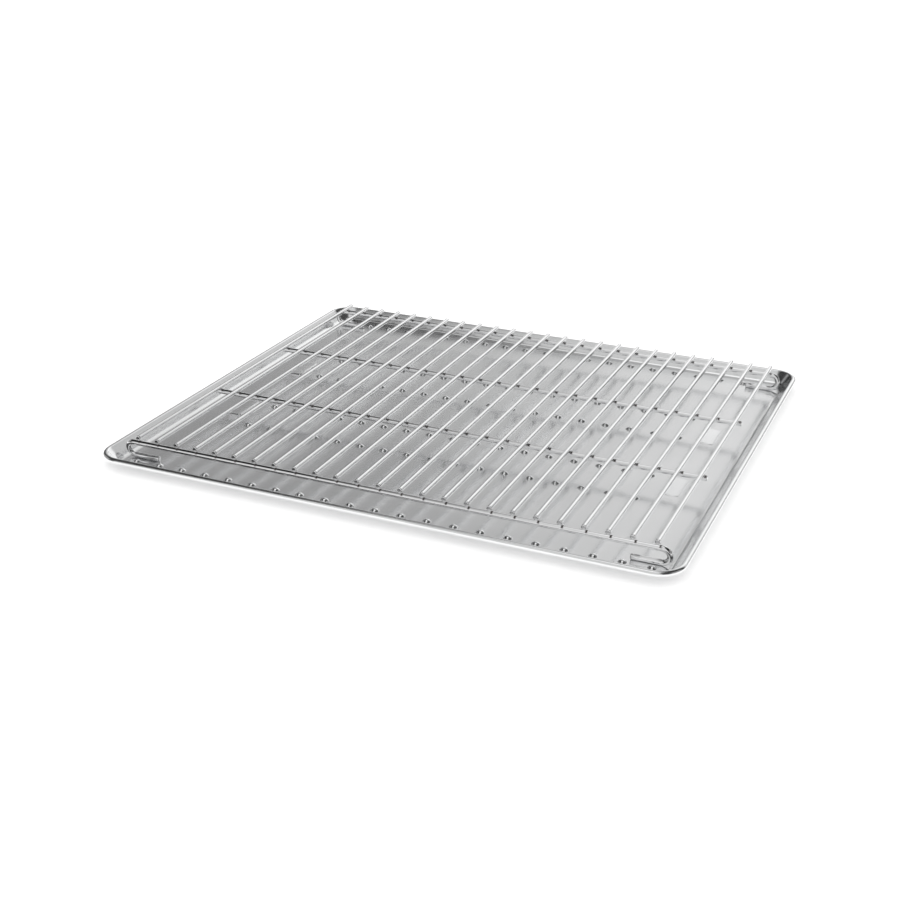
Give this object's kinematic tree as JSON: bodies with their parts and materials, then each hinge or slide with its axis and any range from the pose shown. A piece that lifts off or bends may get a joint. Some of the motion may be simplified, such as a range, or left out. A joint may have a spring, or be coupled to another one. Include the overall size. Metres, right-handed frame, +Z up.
{
  "type": "wire cooling rack with tray",
  "caption": "Chromed wire cooling rack with turned-under feet, standing in a shallow steel tray with a rolled, wire-cored rim and pressed nubs on its floor.",
  "frame": {"origin": "middle of the footprint, on the surface that the tray stands on", "axes": "+X along the cross wires, +Y along the long wires to the back, +Z up"},
  "size_m": [0.4, 0.35, 0.0171],
  "materials": {
    "tray_steel": "bright satin-polished stainless sheet",
    "core_steel": "plain drawn steel wire, hidden in the rim",
    "chrome_wire": "bright chromed wire"
  },
  "bodies": {
    "tray": {"tray_pan": "tray_steel", "rim_wire": "core_steel"},
    "rack": {"front_foot_wire": "chrome_wire", "rear_foot_wire": "chrome_wire", "front_cross_wire": "chrome_wire", "rear_cross_wire": "chrome_wire", "long_wire_01": "chrome_wire", "long_wire_02": "chrome_wire", "long_wire_03": "chrome_wire", "long_wire_04": "chrome_wire", "long_wire_05": "chrome_wire", "long_wire_06": "chrome_wire", "long_wire_07": "chrome_wire", "long_wire_08": "chrome_wire", "long_wire_09": "chrome_wire", "long_wire_10": "chrome_wire", "long_wire_11": "chrome_wire", "long_wire_12": "chrome_wire", "long_wire_13": "chrome_wire", "long_wire_14": "chrome_wire", "long_wire_15": "chrome_wire", "long_wire_16": "chrome_wire", "long_wire_17": "chrome_wire", "long_wire_18": "chrome_wire", "long_wire_19": "chrome_wire", "long_wire_20": "chrome_wire", "long_wire_21": "chrome_wire", "long_wire_22": "chrome_wire", "long_wire_23": "chrome_wire", "long_wire_24": "chrome_wire", "long_wire_25": "chrome_wire"}
  },
  "joints": [
    {"name": "rack_lift", "type": "slide", "parent": "tray", "child": "rack", "axis": [0, 0, 1], "range_m": [0, 0.06]}
  ]
}
